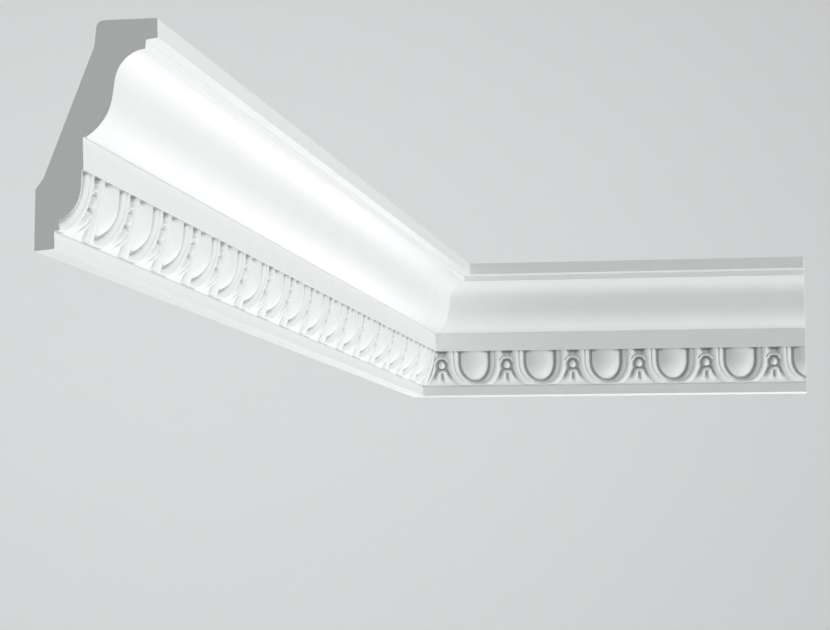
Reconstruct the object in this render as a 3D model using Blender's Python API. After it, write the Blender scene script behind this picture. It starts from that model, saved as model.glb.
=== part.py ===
"""Egg-and-dart cornice moulding for an inside corner: two lengths that meet in a mitre.

Each length is one cast bar. Its section runs in (u, z): u is the distance from the wall and z the
height above the underside. The carving lies on an ovolo and is drawn flat first, as crest and
valley lines in (x, s): x runs along the length from the middle of an egg, s down the curve from
the underside of the band. Every line carries its rise above the ovolo.
"""
import math

import bmesh
import bpy
from mathutils import Vector, geometry

MM = 0.001

# Whole moulding
HEIGHT = 96.3 * MM
SIDE_LENGTH = 854.0 * MM
BACK_LENGTH = 297.6 * MM
MITRE_GAP = 0.3 * MM
MOUNT_FROM_WALL = 40.0 * MM

# Lower fascia, ovolo and band
UNDERSIDE_RISE = 0.8 * MM
FASCIA_FOOT = 8.75 * MM
FASCIA_HEAD = 8.4 * MM
FASCIA_TOP = 8.15 * MM
OVOLO_TOP = 33.7 * MM
OVOLO_RADIUS = 41.4 * MM
OVOLO_FRONT = 18.05 * MM
BAND_FOOT = 20.65 * MM
BAND_HEAD = 20.15 * MM
BAND_TOP = 47.3 * MM

# Ogee: a round below, a straight run, and a cove above
ROUND_CENTRE = (10.6 * MM, 66.6 * MM)
ROUND_RADIUS = 22.2 * MM
COVE_CENTRE = (48.0 * MM, 69.2 * MM)
COVE_RADIUS = 14.5 * MM
ROUND_STEPS = 7
COVE_STEPS = 7

# Top fillet and fascia, and the back
FILLET_FOOT = (46.4 * MM, 83.5 * MM)
FILLET_HEAD = (46.8 * MM, 87.4 * MM)
CROWN_FOOT = (51.7 * MM, 88.0 * MM)
CROWN_HEAD = 51.45 * MM
CEILING_BACK = 28.4 * MM
BACK_CORNER_RADIUS = 3.3 * MM
BACK_CORNER_STEPS = 3
BACK_CORNER_LEAN = math.radians(9)
BACK_KNEE = (24.4 * MM, 85.3 * MM)
HEEL_KNEE = (3.4 * MM, 30.4 * MM)
WALL_TOP = 25.8 * MM

# Egg-and-dart, one repeat
REPEAT = 50.0 * MM
HALF = REPEAT / 2
FIRST_EGG_SIDE = 7.0 * MM
FIRST_EGG_BACK = -0.7 * MM

# Egg: straight to the shoulder, half an oval below it, with rings drawn at shares of its width
EGG_SHOULDER = 8.4 * MM
EGG_BELLY = 14.7 * MM
EGG_HALF_WIDTH = 10.2 * MM
EGG_DROP = 14.1 * MM
EGG_RISE_TOP = 1.85 * MM
EGG_RISE = 2.5 * MM
EGG_FULLNESS = 2.6
EGG_INNER_RING = 0.5
EGG_OUTER_RING = 0.84
GROOVE_RISE = -1.1 * MM

# Frame round the egg: each line's half width and the drop of its oval, and its rise on the legs
FRAME_INNER = (12.3 * MM, 16.0 * MM)
LIP_CREST = (14.4 * MM, 16.8 * MM)
LIP_GROOVE = (15.6 * MM, 17.2 * MM)
FRAME_CREST = (18.2 * MM, 18.2 * MM)
LIP_RISE = 1.5 * MM
LIP_GROOVE_RISE = 0.85 * MM
FRAME_RISE = 2.2 * MM
FRAME_SETTLE = 1.25 * MM

# Valley beside a dart, counted across from the dart's axis, and the shares where it is drawn
VALLEY_RISE = -0.8 * MM
VALLEY_ACROSS = 3.3 * MM
VALLEY_TOP = 6.5 * MM
VALLEY_SHARES = (0.14, 0.3, 0.48, 0.66, 0.84)
VALLEY_FADE = 0.55
FLARE_START = 11.0 * MM
FLARE = 9.1 * MM
FLARE_POWER = 1.77

# Recess and hood over the bead
RECESS_RISE = -1.1 * MM
RECESS_FOOT_RISE = 0.1 * MM
RECESS_ACROSS = 2.8 * MM
RECESS_FOOT = 3.9 * MM
HOOD_RISE = 2.0 * MM
HOOD_SPRING_RISE = 1.2 * MM
HOOD_TOP = 5.1 * MM
HOOD_SHOULDER = (3.6 * MM, 5.7 * MM)
HOOD_SPRING = (4.8 * MM, 8.0 * MM)

# Bead
BEAD_MIDDLE = 10.5 * MM
BEAD_ACROSS = 2.5 * MM
BEAD_DROP = 3.0 * MM
BEAD_RISE = 2.3 * MM
BEAD_EDGE_RISE = -0.4 * MM
BEAD_RING = 0.64

# Leaf below the bead, and the slit in its middle
LEAF_TOP = 16.0 * MM
LEAF_RISE = 1.9 * MM
LEAF_SHARES = (0.2, 0.42, 0.64, 0.84)
SLIT_TOP = 17.4 * MM
SLIT_SHOULDER = 18.3 * MM
SLIT_FOOT = 24.8 * MM
SLIT_ACROSS = 0.9 * MM
SLIT_DEPTH = 2.0 * MM
SLIT_EDGE_DEPTH = 1.3 * MM
SLIT_FOOT_DEPTH = 0.3 * MM

# Finish
PRIMED_WHITE = (0.86, 0.865, 0.86, 1.0)
PRIMED_ROUGHNESS = 0.55
SMOOTH_ANGLE = math.radians(32)
WELD = 0.005 * MM


def arc(centre, radius, start, end, steps):
    """Points on an arc of the section, angles in degrees from +u towards +z."""
    points = []
    for i in range(steps + 1):
        angle = math.radians(start + (end - start) * i / steps)
        points.append((centre[0] + radius * math.cos(angle), centre[1] + radius * math.sin(angle)))
    return points


def ogee():
    """The round and the cove, joined by the straight run that touches both."""
    du = COVE_CENTRE[0] - ROUND_CENTRE[0]
    dz = COVE_CENTRE[1] - ROUND_CENTRE[1]
    between = math.hypot(du, dz)
    touch = math.degrees(math.atan2(dz, du) - math.acos((ROUND_RADIUS + COVE_RADIUS) / between))
    foot = math.degrees(math.asin((BAND_TOP - ROUND_CENTRE[1]) / ROUND_RADIUS))
    head = 180 - math.degrees(math.asin((FILLET_FOOT[1] - COVE_CENTRE[1]) / COVE_RADIUS))
    below = arc(ROUND_CENTRE, ROUND_RADIUS, foot, touch, ROUND_STEPS)
    above = arc(COVE_CENTRE, COVE_RADIUS, 180 + touch, head, COVE_STEPS)
    return below + above


def back_corner():
    """The rounded corner behind the ceiling face, from the ceiling down."""
    centre = (CEILING_BACK, HEIGHT - BACK_CORNER_RADIUS)
    lean = math.degrees(BACK_CORNER_LEAN)
    return arc(centre, BACK_CORNER_RADIUS, 90, 180 - lean, BACK_CORNER_STEPS)


def plain_outline():
    """The section from the band's lower edge, over the top and round to the fascia's top edge."""
    front = [(BAND_FOOT, OVOLO_TOP), (BAND_HEAD, BAND_TOP)] + ogee()
    top = [FILLET_FOOT, FILLET_HEAD, CROWN_FOOT, (CROWN_HEAD, HEIGHT)]
    back = [BACK_KNEE, HEEL_KNEE, (0, WALL_TOP), (0, 0)]
    foot = [(FASCIA_FOOT, UNDERSIDE_RISE), (FASCIA_HEAD, FASCIA_TOP)]
    return front + top + back_corner() + back + foot


# The ovolo ends on the fascia's top edge, which fixes its length down the curve and its last rise
OVOLO_CENTRE = (OVOLO_FRONT - OVOLO_RADIUS, OVOLO_TOP)
EDGE_OUT = math.hypot(FASCIA_HEAD - OVOLO_CENTRE[0], OVOLO_TOP - FASCIA_TOP)
EDGE_RISE = EDGE_OUT - OVOLO_RADIUS
CARVED = OVOLO_RADIUS * math.asin((OVOLO_TOP - FASCIA_TOP) / EDGE_OUT)


def on_ovolo(x, s, rise):
    """The point of the carving at x along and s down, in the length's own frame."""
    angle = s / OVOLO_RADIUS
    out = OVOLO_RADIUS + rise
    u = OVOLO_CENTRE[0] + out * math.cos(angle)
    return Vector((x, -u, OVOLO_CENTRE[1] - out * math.sin(angle)))


def egg_rise(s, share):
    """Rise of the egg at a share of the way from its middle line to its edge."""
    crest = EGG_RISE_TOP + (EGG_RISE - EGG_RISE_TOP) * min(1, s / EGG_DROP)
    return GROOVE_RISE + (crest - GROOVE_RISE) * math.sqrt(max(0, 1 - share ** EGG_FULLNESS))


def u_line(half_width, drop, rise, legs, steps):
    """A U in (x, s, rise): straight legs down from the band, then half an oval."""
    points = [(-half_width, EGG_SHOULDER * i / legs, rise) for i in range(legs)]
    for i in range(steps + 1):
        angle = math.pi * i / steps
        x = -half_width * math.cos(angle)
        points.append((x, EGG_SHOULDER + drop * math.sin(angle), rise))
    points += [(half_width, s, rise) for _, s, rise in reversed(points[:legs])]
    return points


def egg_lines():
    """The egg's middle line and the rings round it, down to the groove."""
    lines = [[(0, s, egg_rise(s, 0)) for s in (0, EGG_SHOULDER, EGG_BELLY)]]
    for share, legs, steps in ((EGG_INNER_RING, 1, 4), (EGG_OUTER_RING, 2, 6), (1.0, 2, 10)):
        ring = u_line(share * EGG_HALF_WIDTH, share * EGG_DROP, 0, legs, steps)
        lines.append([(x, s, egg_rise(s, share)) for x, s, _ in ring])
    return lines


def frame_line(size, leg_rise, steps):
    """A line of the frame, which settles towards the foot as it goes round under the egg."""
    half_width, drop = size
    line = []
    for x, s, _ in u_line(half_width, drop, 0, 2, steps):
        settled = max(0, (s - EGG_SHOULDER) / drop) ** 2
        line.append((x, s, leg_rise - FRAME_SETTLE * settled))
    return line


def frame_lines():
    """The double frame round the egg: groove edge, thin lip, its own groove, and the crest."""
    inner = u_line(*FRAME_INNER, GROOVE_RISE, 2, 10)
    crest = frame_line(FRAME_CREST, FRAME_RISE, 10)
    lip = frame_line(LIP_CREST, LIP_RISE, 8)
    lip_groove = frame_line(LIP_GROOVE, LIP_GROOVE_RISE, 8)
    # The lip dies out under the egg, so its middle point is left off on either side
    middle = len(lip) // 2
    return [inner, crest, lip[:middle], lip[middle + 1:], lip_groove[:middle], lip_groove[middle + 1:]]


def valley_across(s):
    """Half the width between the two valleys beside a dart, flaring under the leaf."""
    flare = max(0, (s - FLARE_START) / (CARVED - FLARE_START))
    return VALLEY_ACROSS + FLARE * flare ** FLARE_POWER


def leaf_rise(s):
    """Rise of the leaf's crest, which runs down to the fascia's edge."""
    share = (s - LEAF_TOP) / (CARVED - LEAF_TOP)
    return LEAF_RISE + (EDGE_RISE - LEAF_RISE) * share ** 2


def bead_ring(size, rise):
    """Half a ring of the bead at a share of its size, as points in (across, s, rise)."""
    ring = []
    for degrees in (-90, -35, 35, 90):
        angle = math.radians(degrees)
        s = BEAD_MIDDLE + size * BEAD_DROP * math.sin(angle)
        ring.append((size * BEAD_ACROSS * math.cos(angle), s, rise))
    return ring


def half_dart_lines():
    """One half of a dart as lines in (across, s, rise), across counted from its axis."""
    spring = BEAD_MIDDLE - VALLEY_TOP
    valley = []
    for degrees in (90, 45, 0):
        angle = math.radians(degrees)
        s = BEAD_MIDDLE - spring * math.sin(angle)
        valley.append((VALLEY_ACROSS * math.cos(angle), s, VALLEY_RISE))
    for share in VALLEY_SHARES:
        s = BEAD_MIDDLE + (CARVED - BEAD_MIDDLE) * share
        fade = max(0, (share - VALLEY_FADE) / (1 - VALLEY_FADE))
        rise = VALLEY_RISE + (EDGE_RISE - VALLEY_RISE) * fade
        valley.append((valley_across(s), s, rise))
    valley.append((valley_across(CARVED), CARVED, EDGE_RISE))

    hood = [(*HOOD_SPRING, HOOD_SPRING_RISE), (*HOOD_SHOULDER, HOOD_RISE), (0, HOOD_TOP, HOOD_RISE)]
    recess = [(RECESS_ACROSS, 0, RECESS_RISE), (RECESS_ACROSS, RECESS_FOOT, RECESS_FOOT_RISE),
              (0, RECESS_FOOT, RECESS_FOOT_RISE), (0, 0, RECESS_RISE)]
    dome = BEAD_EDGE_RISE + (BEAD_RISE - BEAD_EDGE_RISE) * math.sqrt(1 - BEAD_RING ** 2)
    bead = bead_ring(1, BEAD_EDGE_RISE)
    bead_top = bead_ring(BEAD_RING, dome)
    leaf = [(0, LEAF_TOP, LEAF_RISE)]
    for share in LEAF_SHARES:
        s = LEAF_TOP + (CARVED - LEAF_TOP) * share
        leaf.append((0.5 * (SLIT_ACROSS + valley_across(s)), s, leaf_rise(s)))
    slit_foot_rise = leaf_rise(SLIT_FOOT) - SLIT_FOOT_DEPTH
    slit = [(0, SLIT_TOP, leaf_rise(SLIT_TOP) - SLIT_DEPTH),
            (SLIT_ACROSS, SLIT_SHOULDER, leaf_rise(SLIT_SHOULDER) - SLIT_EDGE_DEPTH),
            (SLIT_ACROSS, SLIT_FOOT, slit_foot_rise), (0, SLIT_FOOT, slit_foot_rise)]
    floor = [(0, 0.5 * (BEAD_MIDDLE + BEAD_DROP + LEAF_TOP), VALLEY_RISE)]
    crown = [(0, BEAD_MIDDLE, BEAD_RISE)]
    edge = [(0, CARVED, EDGE_RISE)]
    return [valley, hood, recess, bead, bead_top, leaf, slit, floor, crown, edge]


def drawing():
    """All crest and valley lines of one repeat, the egg in the middle and half a dart each side."""
    lines = egg_lines() + frame_lines()
    for line in half_dart_lines():
        lines.append([(HALF - across, s, rise) for across, s, rise in line])
        lines.append([(across - HALF, s, rise) for across, s, rise in line])
    lines.append([(x, CARVED, EDGE_RISE) for x in (-HALF / 4, 0, HALF / 4)])
    return lines


def carve_repeat(bm):
    """Add the carved face of one repeat, and return its top and bottom vertices in order of x."""
    points = []
    edges = []
    for line in drawing():
        first = len(points)
        points += line
        edges += [(first + i, first + i + 1) for i in range(len(line) - 1)]
    flat = [Vector((x / MM, s / MM)) for x, s, _ in points]
    spots, _, faces, sources, _, _ = geometry.delaunay_2d_cdt(flat, edges, [], 0, 0.001)
    verts = []
    for spot, source in zip(spots, sources):
        rise = points[source[0]][2]
        verts.append(bm.verts.new(on_ovolo(spot.x * MM, spot.y * MM, rise)))
    for face in faces:
        bm.faces.new([verts[i] for i in face])
    top = [v for v, spot in zip(verts, spots) if spot.y * MM < WELD]
    foot = [v for v, spot in zip(verts, spots) if spot.y * MM > CARVED - WELD]
    return sorted(top, key=lambda v: v.co.x), sorted(foot, key=lambda v: v.co.x)


def add_repeat(bm):
    """One repeat of the bar as an open slice: the carved face and the plain faces round it."""
    top, foot = carve_repeat(bm)
    left = []
    right = []
    outline = plain_outline()
    for u, z in outline[:-1]:
        left.append(bm.verts.new((-HALF, -u, z)))
        right.append(bm.verts.new((HALF, -u, z)))
    for i in range(len(left) - 1):
        bm.faces.new((left[i], right[i], right[i + 1], left[i + 1]))
    bm.faces.new([left[0]] + top + [right[0]])
    bm.faces.new([right[-1]] + foot[::-1] + [left[-1]])


def trim(bm, point, normal):
    """Cut the bar at a plane and keep the side that the normal points to."""
    everything = bm.verts[:] + bm.edges[:] + bm.faces[:]
    bmesh.ops.bisect_plane(bm, geom=everything, dist=WELD, plane_co=point, plane_no=normal,
                           clear_inner=True)


def build_length(name, start, end, eggs, mitre, material, collection):
    """One length from start to end along x, with its eggs' middles at the given places.

    The mitre is the normal of its plane through the wall corner, pointing into the length.
    """
    bm = bmesh.new()
    for egg in eggs:
        before = set(bm.verts)
        add_repeat(bm)
        moved = [v for v in bm.verts if v not in before]
        bmesh.ops.translate(bm, verts=moved, vec=(egg, 0, 0))
    bmesh.ops.remove_doubles(bm, verts=bm.verts[:], dist=WELD)
    square = Vector((1, 0, 0))
    if start == 0:
        trim(bm, Vector((end, 0, 0)), -square)
    else:
        trim(bm, Vector((start, 0, 0)), square)
    trim(bm, mitre * MITRE_GAP / 2, mitre)
    bmesh.ops.dissolve_degenerate(bm, dist=WELD, edges=bm.edges[:])
    rim = [e for e in bm.edges if e.is_boundary]
    bmesh.ops.holes_fill(bm, edges=rim, sides=0)
    bmesh.ops.triangulate(bm, faces=bm.faces[:])
    bmesh.ops.recalc_face_normals(bm, faces=bm.faces[:])
    mesh = bpy.data.meshes.new(name)
    bm.to_mesh(mesh)
    bm.free()
    mesh.shade_smooth()
    mesh.set_sharp_from_angle(angle=SMOOTH_ANGLE)
    mesh.materials.append(material)
    length = bpy.data.objects.new(name, mesh)
    collection.objects.link(length)
    return length


def primed_material(name):
    """Matt white primer."""
    material = bpy.data.materials.new(name)
    material.use_nodes = True
    shader = material.node_tree.nodes["Principled BSDF"]
    shader.inputs["Base Color"].default_value = PRIMED_WHITE
    shader.inputs["Roughness"].default_value = PRIMED_ROUGHNESS
    shader.inputs["Metallic"].default_value = 0.0
    material.diffuse_color = PRIMED_WHITE
    return material


def egg_places(first, count, direction):
    """Middles of the eggs along a length, counted from the wall corner."""
    return [direction * (first + i * REPEAT) for i in range(count)]


def main():
    """Build both lengths and stand them round the wall corner."""
    for item in list(bpy.data.objects):
        bpy.data.objects.remove(item, do_unlink=True)
    collection = bpy.data.collections.new("egg_and_dart_cornice")
    bpy.context.scene.collection.children.link(collection)

    corner = bpy.data.objects.new("wall_corner", None)
    corner.location = (-MOUNT_FROM_WALL, SIDE_LENGTH / 2, -HEIGHT)
    collection.objects.link(corner)

    diagonal = math.sqrt(0.5)
    side_count = math.ceil(SIDE_LENGTH / REPEAT)
    side = build_length("side_wall_length", -SIDE_LENGTH, 0, egg_places(FIRST_EGG_SIDE, side_count, -1),
                        Vector((-diagonal, diagonal, 0)), primed_material("side_length_primer"), collection)
    back_count = math.ceil(BACK_LENGTH / REPEAT) + 1
    back = build_length("back_wall_length", 0, BACK_LENGTH, egg_places(FIRST_EGG_BACK, back_count, 1),
                        Vector((diagonal, diagonal, 0)), primed_material("back_length_primer"), collection)
    side.rotation_euler = (0, 0, math.radians(90))
    side.parent = corner
    back.parent = corner


main()
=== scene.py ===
"""Egg-and-dart cornice moulding round an inside wall corner: the finished look on its frame.

Sizes are in metres. Each length is modelled in its own frame first: x runs along it from the wall
corner, the wall is the plane y = 0 with the room on the side of -y, and z is the height above the
underside. A point of the section is (u, z), where u is the distance from the wall. A point of the
carving is (x, s), where x is counted from the middle of an egg and s down the ovolo from the band.
"""

import logging
import math
from collections.abc import Callable
from dataclasses import dataclass
from enum import Enum

import bmesh
import bpy
from mathutils import Matrix, Vector


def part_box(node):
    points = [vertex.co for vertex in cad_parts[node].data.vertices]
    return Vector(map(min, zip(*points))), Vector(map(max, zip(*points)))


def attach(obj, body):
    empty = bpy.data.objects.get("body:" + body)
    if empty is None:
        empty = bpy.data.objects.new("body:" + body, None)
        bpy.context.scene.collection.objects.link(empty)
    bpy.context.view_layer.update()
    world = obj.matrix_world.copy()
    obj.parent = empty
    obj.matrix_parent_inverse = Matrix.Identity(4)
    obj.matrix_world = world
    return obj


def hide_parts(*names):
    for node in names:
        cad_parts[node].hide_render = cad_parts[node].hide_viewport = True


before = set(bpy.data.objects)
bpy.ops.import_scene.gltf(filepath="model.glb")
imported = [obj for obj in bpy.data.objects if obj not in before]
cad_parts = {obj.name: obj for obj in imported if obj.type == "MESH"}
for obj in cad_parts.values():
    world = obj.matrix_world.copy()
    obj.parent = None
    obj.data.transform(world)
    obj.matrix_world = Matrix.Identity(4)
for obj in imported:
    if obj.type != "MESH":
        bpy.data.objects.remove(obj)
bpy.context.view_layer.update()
LOG = logging.getLogger("cornice")

MM = 0.001
NEAR = 0.01 * MM
BODY = "root"
# Attribute holding each point's share of painted shade, which darkens the carving's depths
PAINTED_SHADE = "hollow"
SIDE_FIRST_EGG = 7.0 * MM
BACK_FIRST_EGG = -0.7 * MM

NUMBER = "NodeSocketFloat"
VECTOR = "NodeSocketVector"
COLOUR = "NodeSocketColor"
MOTTLE_DETAIL = 5.0
MOTTLE_ROUGHNESS = 0.6
GRAIN_DETAIL = 3.0

# Places of the mix node's sockets, whose names repeat
MIX_SHARE = 0
MIX_NUMBERS = (2, 3)
MIXED_NUMBER = 0
MIX_COLOURS = (6, 7)
MIXED_COLOUR = 2


class Wall(Enum):
    """The wall that a length is fixed to, by the name of its CAD node."""

    SIDE = "side_wall_length"
    BACK = "back_wall_length"


def smooth(share: float) -> float:
    """Ease a share from 0 to 1, level at both ends.

    Args:
        share: The share, held between 0 and 1.

    Returns:
        The eased share.
    """
    held = min(1.0, max(0.0, share))
    return held * held * (3.0 - 2.0 * held)


def ease(low: float, high: float, share: float) -> float:
    """Go from one value to another, level at both ends.

    Args:
        low: The value at a share of 0.
        high: The value at a share of 1.
        share: How far to go.

    Returns:
        The value at the share.
    """
    return low + (high - low) * smooth(share)


def along(points: tuple[tuple[float, float], ...], place: float) -> float:
    """Read a line of straight stretches at a place.

    Args:
        points: The line's corners, as a place and a value each, in order of place.
        place: Where to read it.

    Returns:
        The line's value there, and the nearest end's value beyond its ends.
    """
    if place <= points[0][0]:
        return points[0][1]
    for (start, first), (end, last) in zip(points, points[1:]):
        if place <= end:
            return first + (last - first) * (place - start) / (end - start)
    return points[-1][1]


def soft_top(rises: list[float], softness: float) -> float:
    """Give the highest of several rises, rounded where two of them meet.

    Args:
        rises: Rises of the forms that meet at a point.
        softness: Size of the rounding.

    Returns:
        The rounded highest rise.
    """
    peak = max(rises)
    spread = sum(math.exp((rise - peak) / softness) for rise in rises)
    return peak + softness * math.log(spread)


@dataclass(frozen=True)
class SectionPoint:
    """A corner of the plain section, and whether it is an arris that the mould softens."""

    u: float
    z: float
    arris: bool = False


@dataclass(frozen=True)
class Section:
    """The plain parts of the moulding's section."""

    height: float = 96.3 * MM
    underside_rise: float = 0.8 * MM
    fascia_foot: float = 8.75 * MM
    fascia_head: float = 8.4 * MM
    fascia_top: float = 8.15 * MM
    fascia_strip: float = 0.9 * MM
    band_underside: float = 33.7 * MM
    band_lip: float = 20.45 * MM
    band_lip_strip: float = 0.05 * MM
    band_foot: float = 20.65 * MM
    band_head: float = 20.15 * MM
    band_top: float = 47.3 * MM
    round_centre: tuple[float, float] = (10.6 * MM, 66.6 * MM)
    round_radius: float = 22.2 * MM
    cove_centre: tuple[float, float] = (48.0 * MM, 69.2 * MM)
    cove_radius: float = 14.5 * MM
    arc_steps: int = 16
    fillet_foot: tuple[float, float] = (46.4 * MM, 83.5 * MM)
    fillet_head: tuple[float, float] = (46.8 * MM, 87.4 * MM)
    crown_foot: tuple[float, float] = (51.7 * MM, 88.0 * MM)
    crown_head: float = 51.45 * MM
    ceiling_back: float = 28.4 * MM
    back_corner_radius: float = 3.3 * MM
    back_corner_steps: int = 6
    back_corner_lean: float = 9.0
    back_knee: tuple[float, float] = (24.4 * MM, 85.3 * MM)
    heel_knee: tuple[float, float] = (3.4 * MM, 30.4 * MM)
    wall_top: float = 25.8 * MM
    arris_width: float = 0.18 * MM
    arris_steps: int = 3

    def arc(self, centre: tuple[float, float], radius: float, start: float, end: float,
            steps: int) -> list[SectionPoint]:
        """Points on an arc of the section.

        Args:
            centre: The arc's centre in (u, z).
            radius: Its radius.
            start: First angle in degrees, from +u towards +z.
            end: Last angle in degrees.
            steps: Number of straight steps.

        Returns:
            The arc's points, from start to end.
        """
        points = []
        for i in range(steps + 1):
            angle = math.radians(start + (end - start) * i / steps)
            u = centre[0] + radius * math.cos(angle)
            points.append(SectionPoint(u, centre[1] + radius * math.sin(angle)))
        return points

    def ogee(self) -> list[SectionPoint]:
        """The round below and the cove above, joined by the straight run that touches both.

        Returns:
            The points, from the band's top to the fillet.
        """
        du = self.cove_centre[0] - self.round_centre[0]
        dz = self.cove_centre[1] - self.round_centre[1]
        reach = self.round_radius + self.cove_radius
        touch = math.degrees(math.atan2(dz, du) - math.acos(reach / math.hypot(du, dz)))
        foot = math.degrees(math.asin((self.band_top - self.round_centre[1]) / self.round_radius))
        rise = (self.fillet_foot[1] - self.cove_centre[1]) / self.cove_radius
        head = 180.0 - math.degrees(math.asin(rise))
        below = self.arc(self.round_centre, self.round_radius, foot, touch, self.arc_steps)
        above = self.arc(self.cove_centre, self.cove_radius, 180.0 + touch, head, self.arc_steps)
        return below + above

    def outline(self) -> list[SectionPoint]:
        """The plain section.

        Returns:
            The points from the band's underside, over the top and round the back to the fascia.
        """
        corner = (self.ceiling_back, self.height - self.back_corner_radius)
        lean = 180.0 - self.back_corner_lean
        fascia_end = self.fascia_top - self.fascia_strip
        share = (fascia_end - self.underside_rise) / (self.fascia_top - self.underside_rise)
        fascia_u = self.fascia_foot + (self.fascia_head - self.fascia_foot) * share
        front = [
            SectionPoint(self.band_lip, self.band_underside),
            SectionPoint(self.band_foot, self.band_underside, arris=True),
            SectionPoint(self.band_head, self.band_top),
        ]
        top = [
            SectionPoint(*self.fillet_foot, arris=True),
            SectionPoint(*self.fillet_head),
            SectionPoint(*self.crown_foot, arris=True),
            SectionPoint(self.crown_head, self.height, arris=True),
        ]
        back = self.arc(corner, self.back_corner_radius, 90.0, lean, self.back_corner_steps)
        foot = [
            SectionPoint(*self.back_knee),
            SectionPoint(*self.heel_knee),
            SectionPoint(0.0, self.wall_top),
            SectionPoint(0.0, 0.0, arris=True),
            SectionPoint(self.fascia_foot, self.underside_rise, arris=True),
            SectionPoint(fascia_u, fascia_end),
        ]
        return front + self.ogee()[:-1] + top + back + foot


@dataclass(frozen=True)
class Ovolo:
    """The curved bed that the ornament is carved on, ending on the fascia's top edge."""

    section: Section
    radius: float = 41.4 * MM
    front: float = 18.05 * MM

    @property
    def centre(self) -> tuple[float, float]:
        """The curve's centre in (u, z), level with the band's underside."""
        return (self.front - self.radius, self.section.band_underside)

    @property
    def foot_reach(self) -> float:
        """Distance from the curve's centre to the fascia's top edge."""
        across = self.section.fascia_head - self.centre[0]
        return math.hypot(across, self.section.band_underside - self.section.fascia_top)

    @property
    def foot_rise(self) -> float:
        """Rise of the carving where it dies into the fascia."""
        return self.foot_reach - self.radius

    @property
    def carved(self) -> float:
        """Length of the carving down the curve."""
        drop = self.section.band_underside - self.section.fascia_top
        return self.radius * math.asin(drop / self.foot_reach)

    def point(self, x: float, s: float, rise: float) -> Vector:
        """Place a point of the carving.

        Args:
            x: Distance along the length.
            s: Distance down the curve from the band.
            rise: Height above the bed.

        Returns:
            The point in the length's frame.
        """
        angle = s / self.radius
        out = self.radius + rise
        u = self.centre[0] + out * math.cos(angle)
        return Vector((x, -u, self.centre[1] - out * math.sin(angle)))


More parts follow.
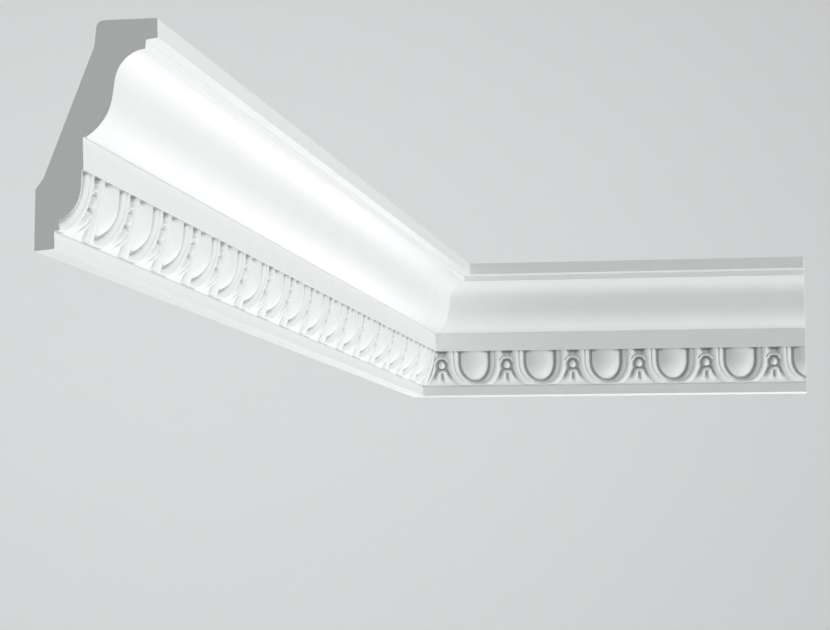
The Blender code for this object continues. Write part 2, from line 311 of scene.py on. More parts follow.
@dataclass(frozen=True)
class EggAndDart:
    """The carved ornament: one egg in its double frame, with half a dart on either side.

    The lines round the egg are nested Us: straight down to the shoulder, then half an oval. A U is
    named by its half width, and its drop below the shoulder goes with the half width.
    """

    foot: float
    foot_rise: float
    band_proud: float
    repeat: float = 50.0 * MM
    shoulder: float = 8.4 * MM
    halvings: int = 30

    egg: tuple[float, float] = (10.2 * MM, 14.1 * MM)
    egg_top_rise: float = 2.1 * MM
    egg_belly_rise: float = 3.1 * MM
    egg_edge_rise: float = -0.75 * MM
    egg_roundness: float = 0.78

    groove: tuple[float, float] = (11.35 * MM, 15.5 * MM)
    groove_half_width: float = 0.75 * MM
    groove_rise: tuple[float, float] = (-1.5 * MM, -1.4 * MM)
    frame_inner: tuple[float, float] = (12.65 * MM, 16.4 * MM)
    frame_inner_rise: float = 0.2 * MM
    lip: tuple[float, float] = (14.9 * MM, 16.9 * MM)
    lip_rise: float = 1.55 * MM
    line: tuple[float, float] = (15.6 * MM, 17.1 * MM)
    line_rise: tuple[float, float] = (0.95 * MM, 0.1 * MM)
    lip_fade: tuple[float, float] = (0.6, 0.9)
    outermost: tuple[float, float] = (40.0 * MM, 24.0 * MM)

    bank_width: float = 1.4 * MM
    bank_rise: float = 2.0 * MM
    band_rise: tuple[float, float] = (2.2 * MM, 0.95 * MM)
    band_crest: float = 0.38
    band_fullness: float = 1.15

    recess_across: float = 1.7 * MM
    recess_end: float = 4.5 * MM
    valley_top: float = 7.0 * MM
    valley_across: float = 3.3 * MM
    flare_start: float = 11.0 * MM
    flare: float = 9.1 * MM
    flare_power: float = 1.77
    recess_rise: float = -1.1 * MM
    recess_foot: float = 4.0 * MM
    recess_foot_rise: float = 0.1 * MM
    valley_start: float = 6.0 * MM
    valley_rise: float = -0.8 * MM
    valley_fade: float = 15.0 * MM
    valley_low: float = 22.8 * MM
    valley_low_rise: float = -0.45 * MM
    valley_end: float = 27.4 * MM

    hood_middle: float = 9.4 * MM
    hood_size: tuple[float, float] = (4.6 * MM, 4.3 * MM)
    hood_squareness: float = 3.2
    hood_half_width: float = 1.35 * MM
    hood_rise: float = 2.4 * MM
    hood_fade: tuple[float, float] = (6.8 * MM, 9.6 * MM)

    bead_middle: float = 10.55 * MM
    bead_size: tuple[float, float] = (2.55 * MM, 3.05 * MM)
    bead_pear: float = 0.12
    bead_rise: float = 2.8 * MM

    leaf_middle: float = 17.3 * MM
    leaf_height: float = 3.7 * MM
    leaf_rise: float = 2.5 * MM
    leaf_crest: float = 0.5
    leaf_end: float = 27.2 * MM
    slit_inner: float = 0.45 * MM
    slit_outer: float = 1.6 * MM
    slit_depth: float = 2.6 * MM
    slit_fade: float = 22.0 * MM

    softness: float = 0.12 * MM
    foot_fade: float = 1.3 * MM

    # Painted shade mixed into the primer: darker where the carving lies deep among its
    # surroundings, just under the band and along the foot
    painted_shade_rings: tuple[float, ...] = (1.1 * MM, 2.4 * MM)
    painted_shade_looks: int = 8
    painted_shade_full_depth: float = 0.85 * MM
    brim_shade: float = 0.4
    brim_reach: float = 2.0 * MM
    heel_shade: float = 0.5
    heel_reach: float = 0.4 * MM

    def drop_of(self, half_width: float) -> float:
        """Read a U's drop off the named Us.

        Args:
            half_width: The U's half width.

        Returns:
            Its drop below the shoulder.
        """
        if half_width <= self.egg[0]:
            return half_width * self.egg[1] / self.egg[0]
        named = (self.egg, self.groove, self.frame_inner, self.lip, self.line, self.outermost)
        return along(named, half_width)

    def u_through(self, x: float, s: float) -> float:
        """Half width of the U that passes through a point.

        Args:
            x: Distance from the egg's middle line.
            s: Distance down from the band.

        Returns:
            The U's half width.
        """
        below = s - self.shoulder
        if below <= 0.0:
            return abs(x)
        low = 0.0
        high = self.outermost[0]
        for _ in range(self.halvings):
            middle = (low + high) / 2
            if (x / middle) ** 2 + (below / self.drop_of(middle)) ** 2 > 1.0:
                low = middle
            else:
                high = middle
        return high

    def fade_of_lip(self, x: float, s: float) -> float:
        """Let the lip and its line die away, going round under the egg.

        Args:
            x: Distance from the egg's middle line.
            s: Distance down from the band.

        Returns:
            The share by which they have died away.
        """
        below = max(0.0, s - self.shoulder)
        turn = math.atan2(below, abs(x)) / (math.pi / 2)
        first, last = self.lip_fade
        return smooth((turn - first) / (last - first))

    def valley_half(self, s: float) -> float:
        """Half the width between the two valleys beside a dart.

        Args:
            s: Distance down from the band.

        Returns:
            The half width.
        """
        flare = max(0.0, (s - self.flare_start) / (self.foot - self.flare_start))
        share = (s - self.recess_end) / (self.valley_top - self.recess_end)
        across = ease(self.recess_across, self.valley_across, share)
        return across + self.flare * flare ** self.flare_power

    def floor_at(self, s: float) -> float:
        """Rise of the sunk floor round a dart, which runs out towards the foot.

        Args:
            s: Distance down from the band.

        Returns:
            The rise.
        """
        if s < self.recess_foot:
            return ease(self.recess_rise, self.recess_foot_rise, s / self.recess_foot)
        if s < self.valley_fade:
            share = (s - self.recess_foot) / (self.valley_start - self.recess_foot)
            return ease(self.recess_foot_rise, self.valley_rise, share)
        if s < self.valley_low:
            share = (s - self.valley_fade) / (self.valley_low - self.valley_fade)
            return ease(self.valley_rise, self.valley_low_rise, share)
        share = (s - self.valley_low) / (self.valley_end - self.valley_low)
        return ease(self.valley_low_rise, self.foot_rise, share)

    def egg_part(self, width: float, s: float) -> float:
        """Rise of the egg.

        Args:
            width: Half width of the U through the point.
            s: Distance down from the band.

        Returns:
            The rise.
        """
        crest = ease(self.egg_top_rise, self.egg_belly_rise, s / (self.shoulder + self.egg[1] / 2))
        level = math.sqrt(1.0 - self.egg_roundness ** 2)
        share = min(1.0, width / self.egg[0])
        dome = (math.sqrt(1.0 - (self.egg_roundness * share) ** 2) - level) / (1.0 - level)
        return self.egg_edge_rise + (crest - self.egg_edge_rise) * dome

    def lip_part(self, width: float, fade: float) -> float:
        """Rise of the groove, the sloping lip outside it and the thin line behind the lip.

        Args:
            width: Half width of the U through the point.
            fade: Share by which the lip has died away.

        Returns:
            The rise.
        """
        groove_rise = ease(*self.groove_rise, fade)
        line_rise = ease(*self.line_rise, fade)
        inner = self.groove[0] - self.groove_half_width
        outer = self.groove[0] + self.groove_half_width
        lipped = along((
            (self.egg[0], self.egg_edge_rise),
            (inner, groove_rise),
            (outer, groove_rise),
            (self.frame_inner[0], self.frame_inner_rise),
            (self.lip[0], self.lip_rise),
            (self.line[0], line_rise),
        ), width)
        plain = ease(groove_rise, line_rise, (width - outer) / (self.line[0] - outer))
        if width < outer:
            return lipped
        return lipped + (plain - lipped) * fade

    def band_part(self, x: float, s: float, fade: float) -> float:
        """Rise of the frame's broad outer band, from the thin line to the valley or the foot.

        Args:
            x: Distance from the egg's middle line.
            s: Distance down from the band above.
            fade: Share by which the lip has died away.

        Returns:
            The rise.
        """
        below = max(0.0, s - self.shoulder)
        scaled = math.hypot(x / self.line[0], below / self.line[1])
        inner = max(0.0, math.hypot(x, below) * (1.0 - 1.0 / scaled)) if scaled > 0.0 else 0.0
        to_valley = max(0.0, self.repeat / 2 - abs(x) - self.valley_half(s))
        to_foot = max(0.0, self.foot - s)
        outer = to_valley * to_foot / max(NEAR, math.hypot(to_valley, to_foot))
        share = inner / max(NEAR, inner + outer)
        crest = ease(*self.band_rise, fade)
        if share < self.band_crest:
            line_rise = ease(*self.line_rise, fade)
            bank = self.bank_rise + (line_rise - self.bank_rise) * fade
            start = line_rise + (bank - line_rise) * min(1.0, inner / self.bank_width)
            return ease(start, crest, share / self.band_crest)
        pull = to_valley / max(NEAR, to_valley + to_foot)
        far_rise = ease(self.floor_at(s), self.foot_rise, pull)
        fall = (share - self.band_crest) / (1.0 - self.band_crest)
        return ease(crest, far_rise, fall ** self.band_fullness)

    def hood_part(self, across: float, s: float) -> float:
        """Rise of the hood that arches over the bead and springs from the frames.

        Args:
            across: Distance from the dart's middle line.
            s: Distance down from the band.

        Returns:
            The rise.
        """
        floor = self.floor_at(s)
        if s < self.hood_middle:
            wide = across / self.hood_size[0]
            high = (self.hood_middle - s) / self.hood_size[1]
            power = self.hood_squareness
            off = abs((wide ** power + high ** power) ** (1.0 / power) - 1.0) * self.hood_size[1]
        else:
            off = abs(across - self.hood_size[0])
        first, last = self.hood_fade
        crest = ease(self.hood_rise, floor, (s - first) / (last - first))
        return ease(crest, floor, off / self.hood_half_width)

    def bead_part(self, across: float, s: float) -> float:
        """Rise of the bead under the hood.

        Args:
            across: Distance from the dart's middle line.
            s: Distance down from the band.

        Returns:
            The rise, and outside the bead the valley's.
        """
        down = (s - self.bead_middle) / self.bead_size[1]
        share = math.hypot(across / (self.bead_size[0] * (1.0 + self.bead_pear * down)), down)
        dome = math.sqrt(max(0.0, 1.0 - share * share))
        return self.valley_rise + (self.bead_rise - self.valley_rise) * dome

    def leaf_part(self, across: float, s: float) -> float:
        """Rise of the split leaf below the bead: a crest all round its slit.

        Args:
            across: Distance from the dart's middle line.
            s: Distance down from the band.

        Returns:
            The rise, and outside the leaf the recess's.
        """
        floor = self.floor_at(s)
        if s < self.leaf_middle:
            edge = self.valley_half(self.leaf_middle)
            share = math.hypot(across / edge, (self.leaf_middle - s) / self.leaf_height)
        else:
            share = across / self.valley_half(s)
        if share > 1.0:
            return self.recess_rise
        down = (s - self.leaf_middle) / (self.leaf_end - self.leaf_middle)
        crest = ease(self.leaf_rise, self.foot_rise, down)
        if share > self.leaf_crest:
            return ease(crest, floor, (share - self.leaf_crest) / (1.0 - self.leaf_crest))
        run_out = (s - self.slit_fade) / (self.leaf_end - self.slit_fade)
        slit = crest - ease(self.slit_depth, 0.0, run_out)
        off = across if s > self.leaf_middle else math.hypot(across, s - self.leaf_middle)
        return ease(slit, crest, (off - self.slit_inner) / (self.slit_outer - self.slit_inner))

    def rise(self, x: float, s: float) -> float:
        """Height of the carving above its bed.

        Args:
            x: Distance along the length from the middle of any egg.
            s: Distance down from the band.

        Returns:
            The rise, negative where the carving is sunk.
        """
        half = self.repeat / 2
        x = (x + half) % self.repeat - half
        width = self.u_through(x, s)
        fade = self.fade_of_lip(x, s)
        if width <= self.egg[0]:
            rise = self.egg_part(width, s)
        elif width <= self.line[0]:
            rise = self.lip_part(width, fade)
        else:
            across = half - abs(x)
            inside = across < self.valley_half(s)
            bed = self.floor_at(s) if inside else self.band_part(x, s, fade)
            forms = [bed, self.hood_part(across, s)]
            if inside:
                forms.append(self.bead_part(across, s))
                forms.append(self.leaf_part(across, s))
            rise = soft_top(forms, self.softness)
        return ease(rise, self.foot_rise, 1.0 - (self.foot - s) / self.foot_fade)

    def surroundings(self, x: float, s: float) -> float:
        """Height of whatever stands at a point: the band above, the carving or the fascia.

        Args:
            x: Distance along the length from the middle of an egg.
            s: Distance down from the band.

        Returns:
            The height above the bed.
        """
        if s < 0.0:
            return self.band_proud
        if s > self.foot:
            return self.foot_rise
        return self.rise(x, s)

    def hollow(self, x: float, s: float) -> float:
        """Share of painted shade at a point: how deep it lies among what stands round it, or the
        painted shade just under the band and along the foot, whichever is more.

        Args:
            x: Distance along the length from the middle of an egg.
            s: Distance down from the band.

        Returns:
            The share, from 0 in the open to 1 in the depth of a groove.
        """
        total = 0.0
        for ring in self.painted_shade_rings:
            for look in range(self.painted_shade_looks):
                angle = math.tau * look / self.painted_shade_looks
                total += self.surroundings(x + ring * math.cos(angle), s + ring * math.sin(angle))
        mean = total / (len(self.painted_shade_rings) * self.painted_shade_looks)
        depth = smooth((mean - self.rise(x, s)) / self.painted_shade_full_depth)
        # Painted shade under the band's brim and along the heel at the foot, where shade falls
        brim = self.brim_shade * (1.0 - smooth(s / self.brim_reach))
        heel = self.heel_shade * (1.0 - smooth((self.foot - s) / self.heel_reach))
        return max(depth, brim, heel)


@dataclass(frozen=True)
class PrimerFinish:
    """Sprayed white primer, matt, with a faint mottle, the grain of the cast skin and painted shade
    deep in the carving.
    """

    white: tuple[float, float, float, float] = (0.80, 0.81, 0.81, 1.0)
    shade: tuple[float, float, float, float] = (0.755, 0.765, 0.765, 1.0)
    roughness_low: float = 0.48
    roughness_high: float = 0.62
    mottle_scale: float = 55.0
    grain_scale: float = 1400.0
    grain_strength: float = 0.10
    grain_depth: float = 0.05 * MM
    # Painted shade: the darker colour the primer turns to deep in the carving, under the band and
    # along the foot
    painted_shade: tuple[float, float, float, float] = (0.40, 0.405, 0.405, 1.0)

    def material(self, name: str) -> bpy.types.Material:
        """Make the primer material.

        Args:
            name: Name of the material.

        Returns:
            The new material.
        """
        sheet = NodeSheet(name)
        place = sheet.add("ShaderNodeTexCoord")
        mottle = sheet.group(mottle_group())
        sheet.set(mottle, "Scale", self.mottle_scale)
        sheet.set(mottle, "Light", self.white)
        sheet.set(mottle, "Dark", self.shade)
        sheet.set(mottle, "Smooth", self.roughness_low)
        sheet.set(mottle, "Rough", self.roughness_high)
        sheet.join(place, "Object", mottle, "Vector")
        grain = sheet.group(grain_group())
        sheet.set(grain, "Scale", self.grain_scale)
        sheet.join(place, "Object", grain, "Vector")
        bump = sheet.add("ShaderNodeBump")
        sheet.set(bump, "Strength", self.grain_strength)
        sheet.set(bump, "Distance", self.grain_depth)
        sheet.join(grain, "Height", bump, "Height")
        # Painted shade mixed into the colour where the carving lies deep
        painted_shade = sheet.group(painted_shade_group())
        sheet.set(painted_shade, "Thin", self.painted_shade)
        sheet.join(mottle, "Color", painted_shade, "Color")
        sheet.join(painted_shade, "Color", sheet.shader, "Base Color")
        sheet.join(mottle, "Roughness", sheet.shader, "Roughness")
        sheet.join(bump, "Normal", sheet.shader, "Normal")
        return sheet.material


@dataclass(frozen=True)
class SawnFoamFinish:
    """The sawn end of a length: close pale foam, with its cells just showing."""

    light: tuple[float, float, float, float] = (0.78, 0.785, 0.78, 1.0)
    dark: tuple[float, float, float, float] = (0.73, 0.735, 0.73, 1.0)
    roughness_low: float = 0.8
    roughness_high: float = 0.95
    cell_scale: float = 900.0
    mottle_scale: float = 420.0
    cell_strength: float = 0.3
    cell_depth: float = 0.08 * MM

    def material(self, name: str) -> bpy.types.Material:
        """Make the sawn foam material.

        Args:
            name: Name of the material.

        Returns:
            The new material.
        """
        sheet = NodeSheet(name)
        place = sheet.add("ShaderNodeTexCoord")
        mottle = sheet.group(mottle_group())
        sheet.set(mottle, "Scale", self.mottle_scale)
        sheet.set(mottle, "Light", self.light)
        sheet.set(mottle, "Dark", self.dark)
        sheet.set(mottle, "Smooth", self.roughness_low)
        sheet.set(mottle, "Rough", self.roughness_high)
        sheet.join(place, "Object", mottle, "Vector")
        cells = sheet.add("ShaderNodeTexVoronoi")
        sheet.set(cells, "Scale", self.cell_scale)
        sheet.join(place, "Object", cells, "Vector")
        bump = sheet.add("ShaderNodeBump")
        sheet.set(bump, "Strength", self.cell_strength)
        sheet.set(bump, "Distance", self.cell_depth)
        sheet.join(cells, "Distance", bump, "Height")
        sheet.join(mottle, "Color", sheet.shader, "Base Color")
        sheet.join(mottle, "Roughness", sheet.shader, "Roughness")
        sheet.join(bump, "Normal", sheet.shader, "Normal")
        return sheet.material


class Sheet:
    """A node tree, with short calls to add, set and join its nodes."""

    def __init__(self, tree: bpy.types.NodeTree) -> None:
        """Take a node tree.

        Args:
            tree: The tree to work on.
        """
        self.tree = tree

    def add(self, kind: str) -> bpy.types.Node:
        """Add a node.

        Args:
            kind: Its type.

        Returns:
            The new node.
        """
        return self.tree.nodes.new(kind)

    def set(self, node: bpy.types.Node, socket: str, value: float | tuple) -> None:
        """Set an input's own value.

        Args:
            node: The node.
            socket: The input's name.
            value: The value.
        """
        node.inputs[socket].default_value = value

    def join(self, source: bpy.types.Node, output: str | int, target: bpy.types.Node,
             socket: str | int) -> None:
        """Link an output to an input.

        Args:
            source: The node that gives.
            output: Its output, by name or place.
            target: The node that takes.
            socket: Its input, by name or place.
        """
        self.tree.links.new(source.outputs[output], target.inputs[socket])


class NodeSheet(Sheet):
    """The nodes of a new material, which starts with only its shader and output."""

    def __init__(self, name: str) -> None:
        """Start the material.

        Args:
            name: Name of the material.
        """
        self.material = bpy.data.materials.new(name)
        self.material.use_nodes = True
        super().__init__(self.material.node_tree)
        self.shader = self.tree.nodes["Principled BSDF"]

    def group(self, tree: bpy.types.NodeTree) -> bpy.types.Node:
        """Add a node that places a shared group.

        Args:
            tree: The shared group.

        Returns:
            The new node.
        """
        node = self.add("ShaderNodeGroup")
        node.node_tree = tree
        return node


class GroupSheet(Sheet):
    """The nodes of a new shared group, which starts with only its input and output."""

    def __init__(self, name: str, inputs: dict[str, str], outputs: dict[str, str]) -> None:
        """Start the group and name its sockets.

        Args:
            name: Name of the group.
            inputs: The kind of each input, by its name.
            outputs: The kind of each output, by its name.
        """
        super().__init__(bpy.data.node_groups.new(name, "ShaderNodeTree"))
        self.start = self.add("NodeGroupInput")
        self.end = self.add("NodeGroupOutput")
        for way, sockets in (("INPUT", inputs), ("OUTPUT", outputs)):
            for socket, kind in sockets.items():
                self.tree.interface.new_socket(name=socket, in_out=way, socket_type=kind)


def mottle_group() -> bpy.types.NodeTree:
    """A soft mottle between two colours and two roughnesses, as sprayed or sawn surfaces have.

    Returns:
        The shared group, made on the first call.
    """
    name = "soft_mottle"
    if name in bpy.data.node_groups:
        return bpy.data.node_groups[name]
    inputs = {"Vector": VECTOR, "Scale": NUMBER, "Light": COLOUR, "Dark": COLOUR,
              "Smooth": NUMBER, "Rough": NUMBER}
    sheet = GroupSheet(name, inputs, {"Color": COLOUR, "Roughness": NUMBER})
    noise = sheet.add("ShaderNodeTexNoise")
    sheet.set(noise, "Detail", MOTTLE_DETAIL)
    sheet.set(noise, "Roughness", MOTTLE_ROUGHNESS)
    sheet.join(sheet.start, "Vector", noise, "Vector")
    sheet.join(sheet.start, "Scale", noise, "Scale")
    tint = sheet.add("ShaderNodeMix")
    tint.data_type = "RGBA"
    sheet.join(noise, "Fac", tint, MIX_SHARE)
    sheet.join(sheet.start, "Light", tint, MIX_COLOURS[0])
    sheet.join(sheet.start, "Dark", tint, MIX_COLOURS[1])
    sheet.join(tint, MIXED_COLOUR, sheet.end, "Color")
    rough = sheet.add("ShaderNodeMix")
    rough.data_type = "FLOAT"
    sheet.join(noise, "Fac", rough, MIX_SHARE)
    sheet.join(sheet.start, "Smooth", rough, MIX_NUMBERS[0])
    sheet.join(sheet.start, "Rough", rough, MIX_NUMBERS[1])
    sheet.join(rough, MIXED_NUMBER, sheet.end, "Roughness")
    return sheet.tree


def grain_group() -> bpy.types.NodeTree:
    """The faint pebbling of a cast and sprayed skin, as a height.

    Returns:
        The shared group, made on the first call.
    """
    name = "cast_grain"
    if name in bpy.data.node_groups:
        return bpy.data.node_groups[name]
    sheet = GroupSheet(name, {"Vector": VECTOR, "Scale": NUMBER}, {"Height": NUMBER})
    noise = sheet.add("ShaderNodeTexNoise")
    sheet.set(noise, "Detail", GRAIN_DETAIL)
    sheet.join(sheet.start, "Vector", noise, "Vector")
    sheet.join(sheet.start, "Scale", noise, "Scale")
    sheet.join(noise, "Fac", sheet.end, "Height")
    return sheet.tree


def painted_shade_group() -> bpy.types.NodeTree:
    """Painted shade: the primer's colour darkened where the carving lies deep, under the band and
    along the foot, where shade falls.

    Returns:
        The shared group, made on the first call.
    """
    name = "thin_in_hollows"
    if name in bpy.data.node_groups:
        return bpy.data.node_groups[name]
    sheet = GroupSheet(name, {"Color": COLOUR, "Thin": COLOUR}, {"Color": COLOUR})
    depth = sheet.add("ShaderNodeAttribute")
    depth.attribute_name = PAINTED_SHADE
    tint = sheet.add("ShaderNodeMix")
    tint.data_type = "RGBA"
    sheet.join(depth, "Fac", tint, MIX_SHARE)
    sheet.join(sheet.start, "Color", tint, MIX_COLOURS[0])
    sheet.join(sheet.start, "Thin", tint, MIX_COLOURS[1])
    sheet.join(tint, MIXED_COLOUR, sheet.end, "Color")
    return sheet.tree


def only(item: bpy.types.Object) -> None:
    """Select one object alone and make it the active one.

    Args:
        item: The object.
    """
    bpy.ops.object.select_all(action="DESELECT")
    item.select_set(True)
    bpy.context.view_layer.objects.active = item


def pick_edges(item: bpy.types.Object, wanted: Callable[[bmesh.types.BMEdge], bool]) -> None:
    """In edit mode, select only the edges that pass a test.

    Args:
        item: The object in edit mode.
        wanted: The test, given an edge.
    """
    bpy.ops.mesh.select_mode(type="EDGE")
    bpy.ops.mesh.select_all(action="DESELECT")
    bm = bmesh.from_edit_mesh(item.data)
    for edge in bm.edges:
        if wanted(edge):
            edge.select_set(True)
    bm.select_flush_mode()
    bmesh.update_edit_mesh(item.data)


def at_height(edge: bmesh.types.BMEdge, z: float) -> bool:
    """Whether an edge runs along the length at a height.

    Args:
        edge: The edge.
        z: The height.

    Returns:
        True if it does.
    """
    a, b = (vert.co for vert in edge.verts)
    level = abs(a.z - z) < NEAR and abs(b.z - z) < NEAR
    return level and abs(a.x - b.x) > NEAR


@dataclass
class CorniceLength:
    """One length of the moulding, from its mitre at the wall corner to its square cut."""

    wall: Wall
    slot: str
    section: Section
    ovolo: Ovolo
    ornament: EggAndDart
    corner: Vector
    run: float
    first_egg: float
    way: int
    columns: int = 94
    rows: int = 55
    underside_rows: int = 3
    smooth_below: float = 28.0
    square_on: float = 0.99
    mitre_gap: float = 0.04 * MM

    @property
    def count(self) -> int:
        """Number of repeats that cover the run with some to cut off."""
        return math.ceil(self.run / self.ornament.repeat) + 1

    def carved_face(self) -> bpy.types.Object:
        """Make the carved face of one repeat from a grid laid on the ovolo.

        Returns:
            The carved face, open all round.
        """
        rows = self.underside_rows + self.rows
        bpy.ops.mesh.primitive_grid_add(x_subdivisions=self.columns, y_subdivisions=rows, size=1.0)
        face = bpy.context.active_object
        # Each point's share of painted shade, which the primer reads to darken the carving's depths
        hollow = face.data.attributes.new(PAINTED_SHADE, "FLOAT", "POINT")
        lip = self.section.band_lip - self.section.band_lip_strip
        for vert in face.data.vertices:
            x = vert.co.x * self.ornament.repeat
            row = round((0.5 - vert.co.y) * rows) - self.underside_rows
            s = max(0, row) * self.ovolo.carved / self.rows
            place = self.ovolo.point(x, s, self.ornament.rise(x, s))
            depth = self.ornament.hollow(x, s)
            if row < 0:
                share = -row / self.underside_rows
                place.y += (-lip - place.y) * share
                # Painted shade: the rows on the band's underside get at least the painted shade of
                # the brim
                depth = max(depth, self.ornament.brim_shade)
            vert.co = place
            hollow.data[vert.index].value = depth
        bpy.ops.object.shade_smooth()
        return face

    def plain_face(self) -> bpy.types.Object:
        """Make the plain faces of one repeat by drawing an edge round the section.

        Returns:
            The plain strip, open at its two edges and ends.
        """
        points = self.section.outline()
        start, second = points[0], points[1]
        middle = (0.0, -0.5 * (start.u + second.u), start.z)
        bpy.ops.mesh.primitive_plane_add(size=1.0, location=middle)
        strip = bpy.context.active_object
        bpy.ops.object.mode_set(mode="EDIT")
        bpy.ops.transform.resize(value=(self.ornament.repeat, second.u - start.u, 1.0))
        bpy.ops.object.mode_set(mode="OBJECT")
        bpy.ops.object.transform_apply(location=True, rotation=True, scale=True)
        bpy.ops.object.mode_set(mode="EDIT")
        pick_edges(strip, lambda edge: all(abs(vert.co.y + second.u) < NEAR for vert in edge.verts))
        for last, point in zip(points[1:], points[2:]):
            step = (0.0, last.u - point.u, point.z - last.z)
            bpy.ops.mesh.extrude_region_move(TRANSFORM_OT_translate={"value": step})
        arrises = [(point.u, point.z) for point in points if point.arris]

        def is_arris(edge: bmesh.types.BMEdge) -> bool:
            """Whether an edge lies along one of the arrises.

            Args:
                edge: The edge.

            Returns:
                True if it does.
            """
            for u, z in arrises:
                if all(abs(v.co.y + u) < NEAR and abs(v.co.z - z) < NEAR for v in edge.verts):
                    return True
            return False

        pick_edges(strip, is_arris)
        bpy.ops.mesh.bevel(offset=self.section.arris_width, segments=self.section.arris_steps)
        bpy.ops.object.mode_set(mode="OBJECT")
        bpy.ops.object.shade_smooth_by_angle(angle=math.radians(self.smooth_below))
        return strip

    def one_repeat(self) -> bpy.types.Object:
        """Join the carved and plain faces of one repeat into an open sleeve.

        Returns:
            The sleeve, open at its two ends.
        """
        bpy.ops.object.select_all(action="DESELECT")
        strip = self.plain_face()
        bpy.ops.object.select_all(action="DESELECT")
        sleeve = self.carved_face()
        strip.select_set(True)
        bpy.ops.object.join()
        bpy.ops.object.mode_set(mode="EDIT")
        band = self.section.band_underside
        lip = self.section.band_lip
        pick_edges(sleeve, lambda edge: edge.is_boundary and at_height(edge, band)
                   and max(-vert.co.y for vert in edge.verts) < lip + NEAR)
        bpy.ops.mesh.bridge_edge_loops()
        fascia = self.section.fascia_top
        strip_end = fascia - self.section.fascia_strip
        pick_edges(sleeve, lambda edge: edge.is_boundary
                   and (at_height(edge, fascia) or at_height(edge, strip_end)))
        bpy.ops.mesh.bridge_edge_loops()
        pick_edges(sleeve, lambda edge: at_height(edge, fascia)
                   or (at_height(edge, band) and max(-vert.co.y for vert in edge.verts) < lip))
        bpy.ops.mesh.mark_sharp()
        bpy.ops.object.mode_set(mode="OBJECT")
        return sleeve

    def repeat_along(self, piece: bpy.types.Object) -> None:
        """Repeat the sleeve along the run and weld the copies.

        Args:
            piece: The sleeve of one repeat.
        """
        only(piece)
        piece.location.x = self.way * self.first_egg
        bpy.ops.object.transform_apply(location=True, rotation=True, scale=True)
        bpy.ops.object.modifier_add(type="ARRAY")
        array = piece.modifiers[-1]
        array.count = self.count
        array.use_relative_offset = False
        array.use_constant_offset = True
        array.constant_offset_displace = (self.way * self.ornament.repeat, 0.0, 0.0)
        array.use_merge_vertices = True
        array.merge_threshold = NEAR
        bpy.ops.object.modifier_apply(modifier=array.name)

    def cut(self, piece: bpy.types.Object, point: Vector, normal: Vector) -> None:
        """Saw the piece at a plane, take away what is behind it and close the cut.

        Args:
            piece: The piece to cut.
            point: A point on the plane.
            normal: The plane's normal, towards the side that stays.
        """
        only(piece)
        bpy.ops.object.mode_set(mode="EDIT")
        bpy.ops.mesh.select_mode(type="VERT")
        bpy.ops.mesh.select_all(action="SELECT")
        bpy.ops.mesh.bisect(plane_co=point, plane_no=normal, use_fill=True, clear_inner=True,
                            threshold=NEAR / 10)
        bpy.ops.object.mode_set(mode="OBJECT")

    def mark_cuts(self, piece: bpy.types.Object, planes: list[tuple[Vector, Vector]]) -> None:
        """Give the sawn ends their own material slot, flat shading and crisp outlines.

        Args:
            piece: The cut piece.
            planes: The cutting planes, as a point and a normal each.
        """
        only(piece)
        bpy.ops.object.mode_set(mode="EDIT")
        bpy.ops.mesh.select_mode(type="FACE")
        bpy.ops.mesh.select_all(action="DESELECT")
        bm = bmesh.from_edit_mesh(piece.data)
        for face in bm.faces:
            for point, normal in planes:
                level = all(abs((vert.co - point).dot(normal)) < NEAR for vert in face.verts)
                if level and abs(face.normal.dot(normal)) > self.square_on:
                    face.select_set(True)
                    face.material_index = 1
                    face.smooth = False
        bmesh.update_edit_mesh(piece.data)
        bpy.ops.mesh.region_to_loop()
        bpy.ops.mesh.mark_sharp()
        bpy.ops.mesh.select_all(action="SELECT")
        bpy.ops.mesh.normals_make_consistent(inside=False)
        bpy.ops.object.mode_set(mode="OBJECT")

    def build(self) -> bpy.types.Object:
        """Model the length and stand it against its wall.

        Returns:
            The finished piece, with its place in its mesh.
        """
        piece = self.one_repeat()
        self.repeat_along(piece)
        half = math.sqrt(0.5)
        mitre_normal = Vector((self.way * half, half, 0.0))
        mitre_point = mitre_normal * self.mitre_gap / 2
        square_point = Vector((self.way * self.run, 0.0, 0.0))
        square_normal = Vector((-self.way, 0.0, 0.0))
        self.cut(piece, mitre_point, mitre_normal)
        self.cut(piece, square_point, square_normal)
        self.mark_cuts(piece, [(mitre_point, mitre_normal), (square_point, square_normal)])
        piece.name = self.wall.value.replace("wall_length", "wall_moulding")
        piece.data.name = piece.name
        turn = math.radians(90.0) if self.wall is Wall.SIDE else 0.0
        piece.rotation_euler = (0.0, 0.0, turn)
        piece.location = self.corner
        bpy.ops.object.transform_apply(location=True, rotation=True, scale=True)
        bpy.ops.object.modifier_add(type="WEIGHTED_NORMAL")
        weighted = piece.modifiers[-1]
        weighted.keep_sharp = True
        bpy.ops.object.modifier_apply(modifier=weighted.name)
        return piece

    def dress(self, piece: bpy.types.Object) -> None:
        """Give the piece its finishes and tie it to the frame.

        Args:
            piece: The finished piece.
        """
        piece.data.materials.append(PrimerFinish().material(piece.name + "_primer"))
        piece.data.materials.append(SawnFoamFinish().material(piece.name + "_sawn_foam"))
        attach(piece, BODY)
        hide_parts(self.wall.value)


@dataclass(frozen=True)
class Lamp:
    """A soft square lamp of the studio, facing the point that it is aimed at."""

    name: str
    place: tuple[float, float, float]
    size: float
    power: float
    aim: tuple[float, float, float] = (0.0, 0.0, 0.0)

    def build(self) -> None:
        """Hang the lamp, unseen by the camera."""
        data = bpy.data.lights.new(self.name, "AREA")
        data.size = self.size
        data.energy = self.power
        lamp = bpy.data.objects.new(self.name, data)
        bpy.context.scene.collection.objects.link(lamp)
        lamp.location = self.place
        away = Vector(self.place) - Vector(self.aim)
        lamp.rotation_euler = away.to_track_quat("Z", "Y").to_euler()
        lamp.visible_camera = False


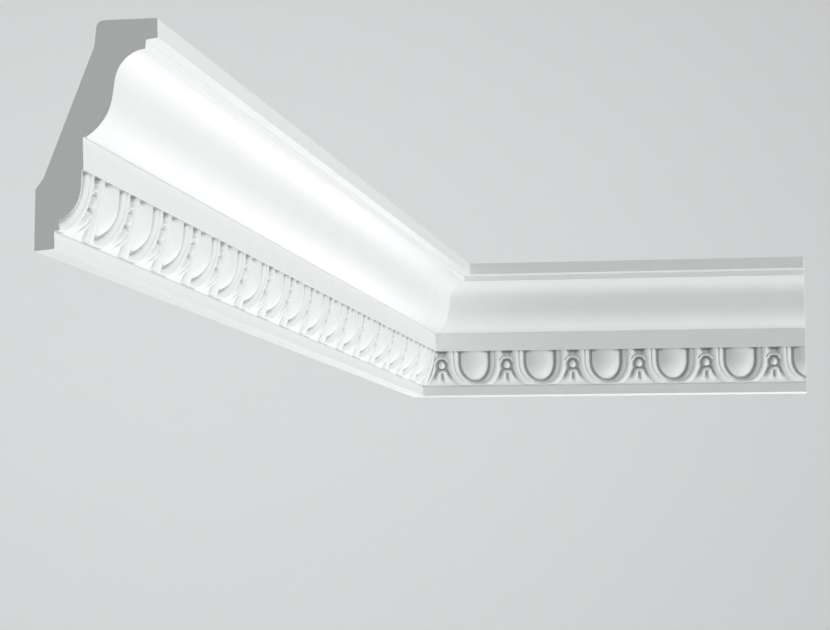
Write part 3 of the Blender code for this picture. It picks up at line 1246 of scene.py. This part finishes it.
LAMPS = (
    Lamp("lamp_right", (4.0, -0.5, 0.4), size=2.5, power=65.0),
    Lamp("lamp_right_front", (3.7, -1.8, 0.0), size=2.5, power=50.0),
    Lamp("lamp_below", (0.3, 0.0, -3.0), size=2.5, power=47.0),
    Lamp("lamp_behind", (0.5, 3.6, -1.8), size=2.5, power=39.0),
    Lamp("lamp_backdrop", (-1.5, 4.0, 1.0), size=3.0, power=125.0, aim=(-1.5, 9.0, 1.0)),
    Lamp("lamp_above_back", (-3.2, 3.4, 3.0), size=2.5, power=60.0),
)


@dataclass
class Studio:
    """The plain studio: a pale round cove for a floor, soft lamps and the camera."""

    corner: Vector
    cut_y: float
    floor_drop: float = 3.2
    floor_radius: float = 9.0
    floor_sides: int = 96
    wall_height: float = 9.0
    cove_radius: float = 3.0
    cove_steps: int = 14
    pale: tuple[float, float, float, float] = (0.74, 0.745, 0.75, 1.0)
    paper_roughness: float = 0.9
    room_white: tuple[float, float, float, float] = (1.0, 1.0, 1.0, 1.0)
    room_light: float = 0.36
    eye_from_side_wall: float = 332.7 * MM
    eye_before_cut: float = 918.9 * MM
    eye_below: float = 129.7 * MM
    yaw: float = 10.62
    pitch: float = 6.13
    roll: float = 0.16
    focal_pixels: float = 2351.0
    frame_pixels: float = 830.0
    sensor_width: float = 36.0

    def build_floor(self) -> None:
        """Make the pale floor, which turns up into a wall all round."""
        bpy.ops.object.select_all(action="DESELECT")
        middle = -self.floor_drop + self.wall_height / 2
        bpy.ops.mesh.primitive_cylinder_add(vertices=self.floor_sides, radius=self.floor_radius,
                                            depth=self.wall_height, location=(0.0, 0.0, middle))
        floor = bpy.context.active_object
        floor.name = "studio_floor"
        bpy.ops.object.transform_apply(location=True, rotation=True, scale=True)
        bpy.ops.object.mode_set(mode="EDIT")
        bpy.ops.mesh.select_mode(type="FACE")
        bpy.ops.mesh.select_all(action="DESELECT")
        bm = bmesh.from_edit_mesh(floor.data)
        for face in bm.faces:
            face.select_set(face.normal.z > NEAR)
        bmesh.update_edit_mesh(floor.data)
        bpy.ops.mesh.delete(type="FACE")
        pick_edges(floor, lambda edge: all(abs(vert.co.z + self.floor_drop) < NEAR
                                           for vert in edge.verts))
        bpy.ops.mesh.bevel(offset=self.cove_radius, segments=self.cove_steps)
        bpy.ops.object.mode_set(mode="OBJECT")
        bpy.ops.object.shade_smooth()
        sheet = NodeSheet("studio_paper")
        sheet.set(sheet.shader, "Base Color", self.pale)
        sheet.set(sheet.shader, "Roughness", self.paper_roughness)
        floor.data.materials.append(sheet.material)

    def place_camera(self) -> None:
        """Stand the camera where the photograph was taken from."""
        data = bpy.data.cameras.new("camera")
        data.sensor_width = self.sensor_width
        data.lens = self.focal_pixels * self.sensor_width / self.frame_pixels
        camera = bpy.data.objects.new("camera", data)
        bpy.context.scene.collection.objects.link(camera)
        eye = Vector((self.corner.x + self.eye_from_side_wall, self.cut_y - self.eye_before_cut,
                      self.corner.z - self.eye_below))
        turn = Matrix.Rotation(math.radians(self.yaw), 4, "Z")
        tilt = Matrix.Rotation(math.radians(90.0 + self.pitch), 4, "X")
        lean = Matrix.Rotation(math.radians(self.roll), 4, "Z")
        camera.matrix_world = Matrix.Translation(eye) @ turn @ tilt @ lean
        bpy.context.scene.camera = camera

    def light(self) -> None:
        """Set the soft lamps and the even light of the room."""
        for lamp in LAMPS:
            lamp.build()
        world = bpy.data.worlds.new("studio_room")
        world.use_nodes = True
        room = world.node_tree.nodes["Background"]
        room.inputs["Color"].default_value = self.room_white
        room.inputs["Strength"].default_value = self.room_light
        bpy.context.scene.world = world

    def build(self) -> None:
        """Set up the whole studio."""
        self.build_floor()
        self.place_camera()
        self.light()
        bpy.context.scene.view_settings.view_transform = "Standard"


def main() -> None:
    """Build both lengths and the studio, and note the sizes."""
    logging.basicConfig(level=logging.INFO, format="%(message)s")
    side_low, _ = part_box(Wall.SIDE.value)
    _, back_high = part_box(Wall.BACK.value)
    corner = Vector((side_low.x, back_high.y, side_low.z))
    section = Section()
    ovolo = Ovolo(section)
    ornament = EggAndDart(foot=ovolo.carved, foot_rise=ovolo.foot_rise,
                          band_proud=section.band_foot - ovolo.front)
    lengths = [
        CorniceLength(Wall.SIDE, "side_length_primer", section, ovolo, ornament, corner,
                      run=corner.y - side_low.y, first_egg=SIDE_FIRST_EGG, way=-1),
        CorniceLength(Wall.BACK, "back_length_primer", section, ovolo, ornament, corner,
                      run=back_high.x - corner.x, first_egg=BACK_FIRST_EGG, way=1),
    ]
    for length in lengths:
        piece = length.build()
        length.dress(piece)
        LOG.info("%s: %d faces", piece.name, len(piece.data.polygons))
    Studio(corner, side_low.y).build()


if __name__ == "__main__":
    main()
